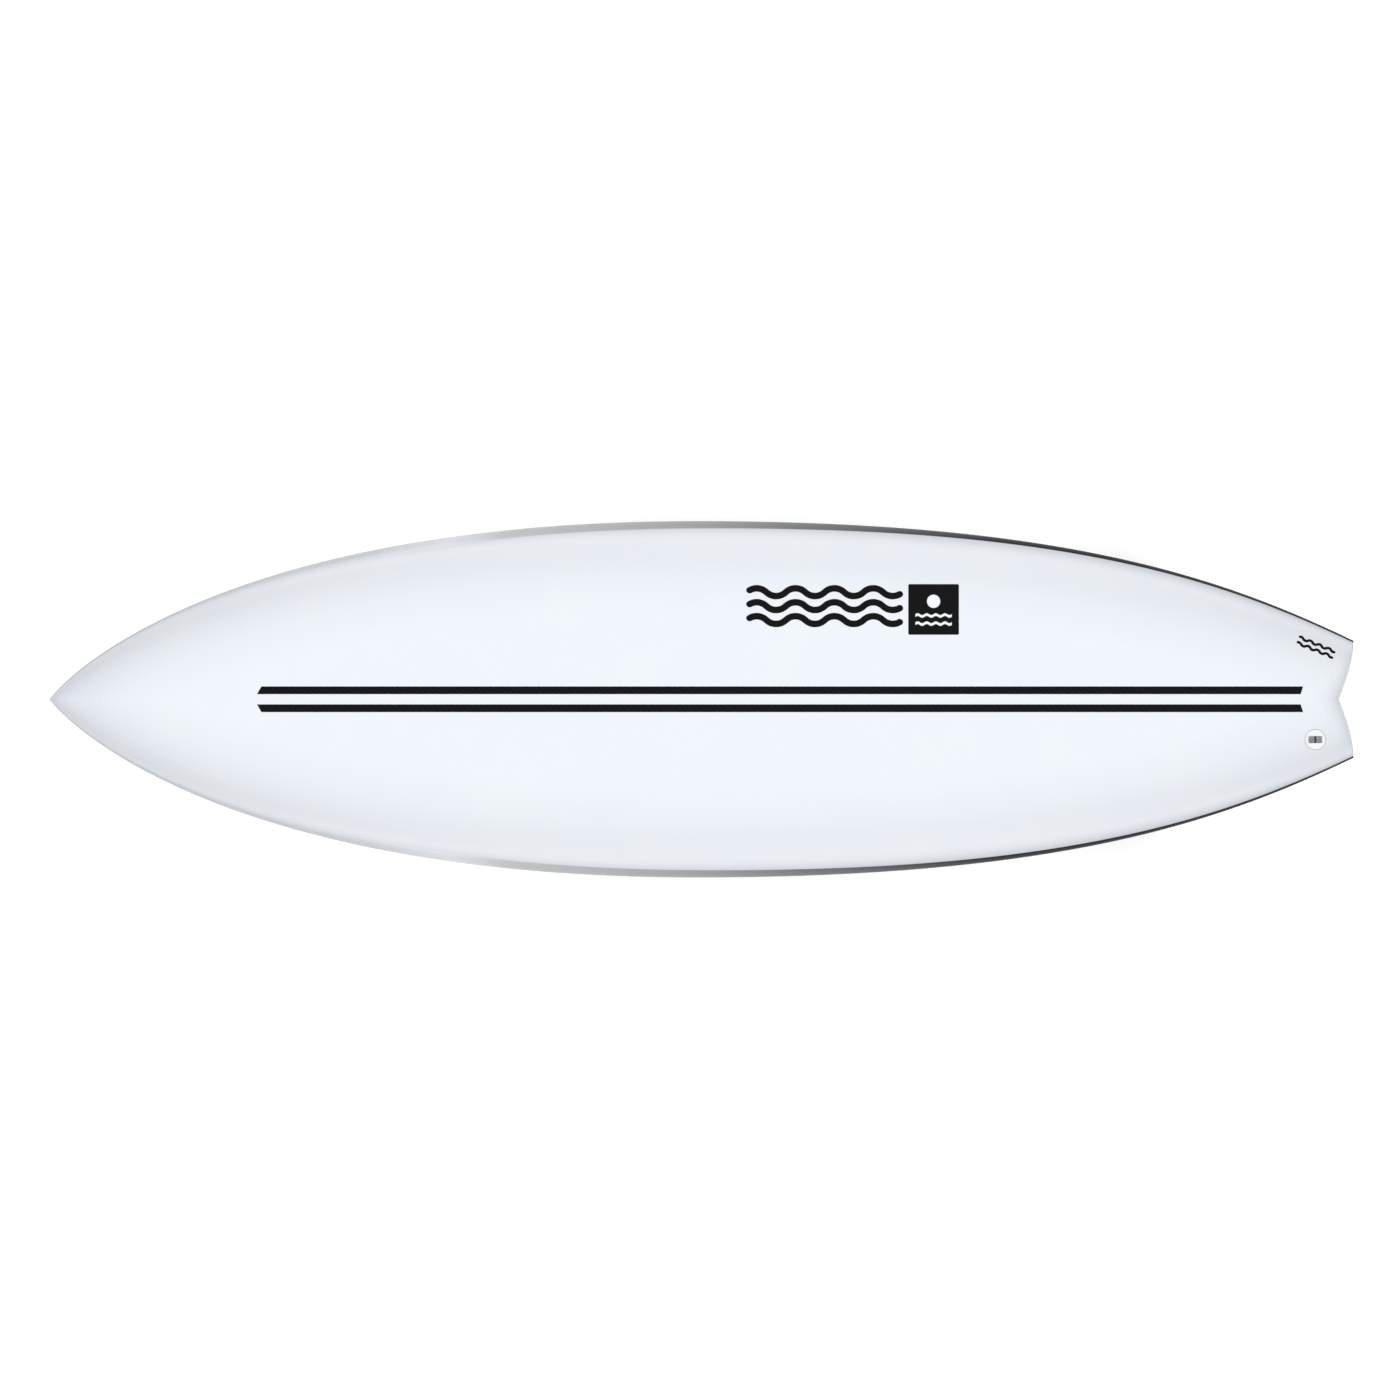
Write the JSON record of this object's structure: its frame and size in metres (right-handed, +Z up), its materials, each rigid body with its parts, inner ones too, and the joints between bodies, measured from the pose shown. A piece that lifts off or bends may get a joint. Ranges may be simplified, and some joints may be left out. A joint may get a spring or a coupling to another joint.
{
  "type": "shortboard surfboard",
  "caption": "Shortboard surfboard with a swallow tail, carbon strips over its stringers, a leash plug, and removable fins clamped in boxes by grub screws.",
  "frame": {"origin": "on the floor, below the centre of the board's bounding box, with the board lying deck up on its belly and the tips of its side fins", "axes": "+X from nose to tail, +Y to the right-hand side of a rider who faces the nose, +Z up; the board lies nose down by 6.1 degrees"},
  "size_m": [1.775, 0.4859, 0.19],
  "materials": {
    "deck_glass": "gloss resin over white foam, black fade along the rails",
    "bottom_glass": "sanded gloss resin over white foam",
    "carbon_tape": "woven carbon under clear resin",
    "black_print": "black tissue print under clear resin",
    "eps_foam": "expanded polystyrene beads",
    "pvc_foam": "dense closed-cell foam strip",
    "plug_plastic": "white moulded plastic",
    "box_plastic": "white glass-filled nylon",
    "fin_composite": "black glass and honeycomb composite",
    "stainless_steel": "plain stainless steel"
  },
  "bodies": {
    "board": {"foam_core_left": "eps_foam", "stringer_left": "pvc_foam", "foam_core_centre": "eps_foam", "stringer_right": "pvc_foam", "foam_core_right": "eps_foam", "deck_laminate": "deck_glass", "bottom_laminate": "bottom_glass", "deck_strip_left": "carbon_tape", "deck_strip_right": "carbon_tape", "deck_wave_mark": "black_print", "deck_badge": "black_print", "tail_wave_mark": "black_print", "leash_plug_cup": "plug_plastic", "leash_plug_bar": "stainless_steel", "fin_box_left": "box_plastic", "fin_box_centre": "box_plastic", "fin_box_right": "box_plastic"},
    "fin_left": {"fin_left": "fin_composite"},
    "fin_centre": {"fin_centre": "fin_composite"},
    "fin_right": {"fin_right": "fin_composite"},
    "fin_screw_left_front": {"fin_screw_left_front": "stainless_steel"},
    "fin_screw_left_rear": {"fin_screw_left_rear": "stainless_steel"},
    "fin_screw_centre_front": {"fin_screw_centre_front": "stainless_steel"},
    "fin_screw_centre_rear": {"fin_screw_centre_rear": "stainless_steel"},
    "fin_screw_right_front": {"fin_screw_right_front": "stainless_steel"},
    "fin_screw_right_rear": {"fin_screw_right_rear": "stainless_steel"}
  },
  "joints": [
    {"name": "fin_left_pull", "type": "slide", "parent": "board", "child": "fin_left", "axis": [0.1894, 0.0107, -0.9818], "range_m": [0, 0.014]},
    {"name": "fin_centre_pull", "type": "slide", "parent": "board", "child": "fin_centre", "axis": [0.2153, 0, -0.9765], "range_m": [0, 0.016]},
    {"name": "fin_right_pull", "type": "slide", "parent": "board", "child": "fin_right", "axis": [0.1894, -0.0107, -0.9818], "range_m": [0, 0.014]},
    {"name": "fin_screw_left_front_turn", "type": "hinge", "parent": "board", "child": "fin_screw_left_front", "pos_m": [0.52138, -0.15317, 0.10061], "axis": [0.1944, 0.4316, -0.8809], "range_deg": [0, 720]},
    {"name": "fin_screw_left_rear_turn", "type": "hinge", "parent": "board", "child": "fin_screw_left_rear", "pos_m": [0.58805, -0.15704, 0.11343], "axis": [0.1944, 0.4316, -0.8809], "range_deg": [0, 720]},
    {"name": "fin_screw_centre_front_turn", "type": "hinge", "parent": "board", "child": "fin_screw_centre_front", "pos_m": [0.70783, 0.00496, 0.14024], "axis": [0.1952, 0.4226, -0.885], "range_deg": [0, 720]},
    {"name": "fin_screw_centre_rear_turn", "type": "hinge", "parent": "board", "child": "fin_screw_centre_rear", "pos_m": [0.77423, 0.00496, 0.15488], "axis": [0.1952, 0.4226, -0.885], "range_deg": [0, 720]},
    {"name": "fin_screw_right_front_turn", "type": "hinge", "parent": "board", "child": "fin_screw_right_front", "pos_m": [0.52138, 0.15317, 0.10061], "axis": [0.1944, -0.4316, -0.8809], "range_deg": [0, 720]},
    {"name": "fin_screw_right_rear_turn", "type": "hinge", "parent": "board", "child": "fin_screw_right_rear", "pos_m": [0.58805, 0.15704, 0.11343], "axis": [0.1944, -0.4316, -0.8809], "range_deg": [0, 720]}
  ]
}
